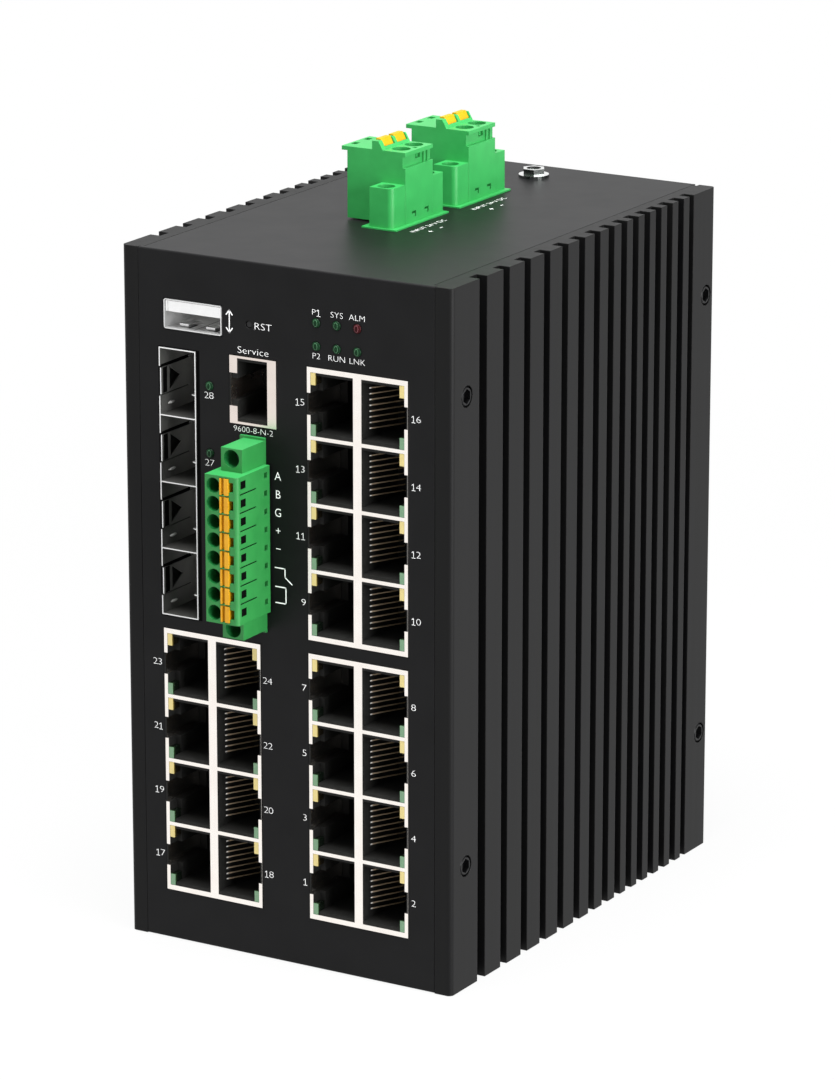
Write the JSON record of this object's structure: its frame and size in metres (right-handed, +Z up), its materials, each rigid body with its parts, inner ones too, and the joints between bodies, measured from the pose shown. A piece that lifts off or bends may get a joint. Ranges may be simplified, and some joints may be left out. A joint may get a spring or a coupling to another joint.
{
  "type": "industrial ethernet switch",
  "caption": "Rail-mounted network switch: black sheet case between finned heat sinks, modular jacks, optical module bays, a console jack and green plug-in terminals with release buttons.",
  "frame": {"origin": "middle of the case underside, at the mid width of the heat sinks and the mid depth of the case", "axes": "+X to the right seen from the front, +Y to the back (rail side), +Z up"},
  "size_m": [0.078, 0.13, 0.1655],
  "materials": {
    "case_paint": "matte black powder coat",
    "heat_sink": "black anodised extrusion",
    "steel": "plain steel",
    "black_screw": "blackened steel",
    "nickel": "satin nickel plate",
    "black_plastic": "glass filled, matt",
    "bronze": "gold flashed phosphor bronze",
    "tin": "tin plated",
    "yellow_lens": "translucent",
    "green_lens": "translucent",
    "green_lamp": "translucent, unlit",
    "red_lamp": "translucent, unlit",
    "white_plastic": "moulded",
    "green_plastic": "moulded",
    "orange_plastic": "moulded",
    "board": "green solder mask",
    "chip": "epoxy",
    "pad": "soft thermal pad"
  },
  "bodies": {
    "case": {"alarm_light": "red_lamp", "alarm_relay": "black_plastic", "board_chips": "chip", "board_posts": "tin", "board_screws": "steel", "console_housing": "black_plastic", "console_shield": "nickel", "first_power_plug": "green_plastic", "front_wrap": "case_paint", "green_lenses": "green_lens", "green_lights": "green_lamp", "ground_screw": "steel", "header_pins": "tin", "io_board": "board", "jack_contacts": "bronze", "left_heat_sink": "heat_sink", "light_holders": "black_plastic", "link_board": "board", "lower_left_jack_housing": "black_plastic", "lower_left_jack_shield": "nickel", "lower_right_jack_housing": "black_plastic", "lower_right_jack_shield": "nickel", "main_board": "board", "module_cage": "steel", "module_sockets": "black_plastic", "port_board": "board", "power_converter": "chip", "power_headers": "green_plastic", "rail_clip": "heat_sink", "rail_clip_screws": "steel", "rail_clip_spring": "steel", "rear_panel": "case_paint", "reset_switch": "black_plastic", "right_heat_sink": "heat_sink", "second_power_plug": "green_plastic", "service_socket_shell": "nickel", "service_socket_tongue": "white_plastic", "side_screws": "black_screw", "signal_header": "green_plastic", "signal_plug": "green_plastic", "thermal_pads": "pad", "upper_right_jack_housing": "black_plastic", "upper_right_jack_shield": "nickel", "wire_clamps": "tin", "yellow_lenses": "yellow_lens"},
    "first_power_release_1_body": {"first_power_release_1": "orange_plastic"},
    "first_power_release_2_body": {"first_power_release_2": "orange_plastic"},
    "second_power_release_1_body": {"second_power_release_1": "orange_plastic"},
    "second_power_release_2_body": {"second_power_release_2": "orange_plastic"},
    "signal_release_1_body": {"signal_release_1": "orange_plastic"},
    "signal_release_2_body": {"signal_release_2": "orange_plastic"},
    "signal_release_3_body": {"signal_release_3": "orange_plastic"},
    "signal_release_4_body": {"signal_release_4": "orange_plastic"},
    "signal_release_5_body": {"signal_release_5": "orange_plastic"},
    "signal_release_6_body": {"signal_release_6": "orange_plastic"},
    "signal_release_7_body": {"signal_release_7": "orange_plastic"},
    "signal_release_8_body": {"signal_release_8": "orange_plastic"},
    "reset_pin_button_body": {"reset_pin_button": "black_plastic"}
  },
  "joints": [
    {"name": "first_power_release_1_press", "type": "slide", "parent": "case", "child": "first_power_release_1_body", "axis": [0, 0, -1], "range_m": [0, 0.0012], "stiffness_N_per_m": 2000},
    {"name": "first_power_release_2_press", "type": "slide", "parent": "case", "child": "first_power_release_2_body", "axis": [0, 0, -1], "range_m": [0, 0.0012], "stiffness_N_per_m": 2000},
    {"name": "second_power_release_1_press", "type": "slide", "parent": "case", "child": "second_power_release_1_body", "axis": [0, 0, -1], "range_m": [0, 0.0012], "stiffness_N_per_m": 2000},
    {"name": "second_power_release_2_press", "type": "slide", "parent": "case", "child": "second_power_release_2_body", "axis": [0, 0, -1], "range_m": [0, 0.0012], "stiffness_N_per_m": 2000},
    {"name": "signal_release_1_press", "type": "slide", "parent": "case", "child": "signal_release_1_body", "axis": [0, 1, 0], "range_m": [0, 0.0012], "stiffness_N_per_m": 2000},
    {"name": "signal_release_2_press", "type": "slide", "parent": "case", "child": "signal_release_2_body", "axis": [0, 1, 0], "range_m": [0, 0.0012], "stiffness_N_per_m": 2000},
    {"name": "signal_release_3_press", "type": "slide", "parent": "case", "child": "signal_release_3_body", "axis": [0, 1, 0], "range_m": [0, 0.0012], "stiffness_N_per_m": 2000},
    {"name": "signal_release_4_press", "type": "slide", "parent": "case", "child": "signal_release_4_body", "axis": [0, 1, 0], "range_m": [0, 0.0012], "stiffness_N_per_m": 2000},
    {"name": "signal_release_5_press", "type": "slide", "parent": "case", "child": "signal_release_5_body", "axis": [0, 1, 0], "range_m": [0, 0.0012], "stiffness_N_per_m": 2000},
    {"name": "signal_release_6_press", "type": "slide", "parent": "case", "child": "signal_release_6_body", "axis": [0, 1, 0], "range_m": [0, 0.0012], "stiffness_N_per_m": 2000},
    {"name": "signal_release_7_press", "type": "slide", "parent": "case", "child": "signal_release_7_body", "axis": [0, 1, 0], "range_m": [0, 0.0012], "stiffness_N_per_m": 2000},
    {"name": "signal_release_8_press", "type": "slide", "parent": "case", "child": "signal_release_8_body", "axis": [0, 1, 0], "range_m": [0, 0.0012], "stiffness_N_per_m": 2000},
    {"name": "reset_pin_button_press", "type": "slide", "parent": "case", "child": "reset_pin_button_body", "axis": [0, 1, 0], "range_m": [0, 0.0003], "stiffness_N_per_m": 2000}
  ]
}
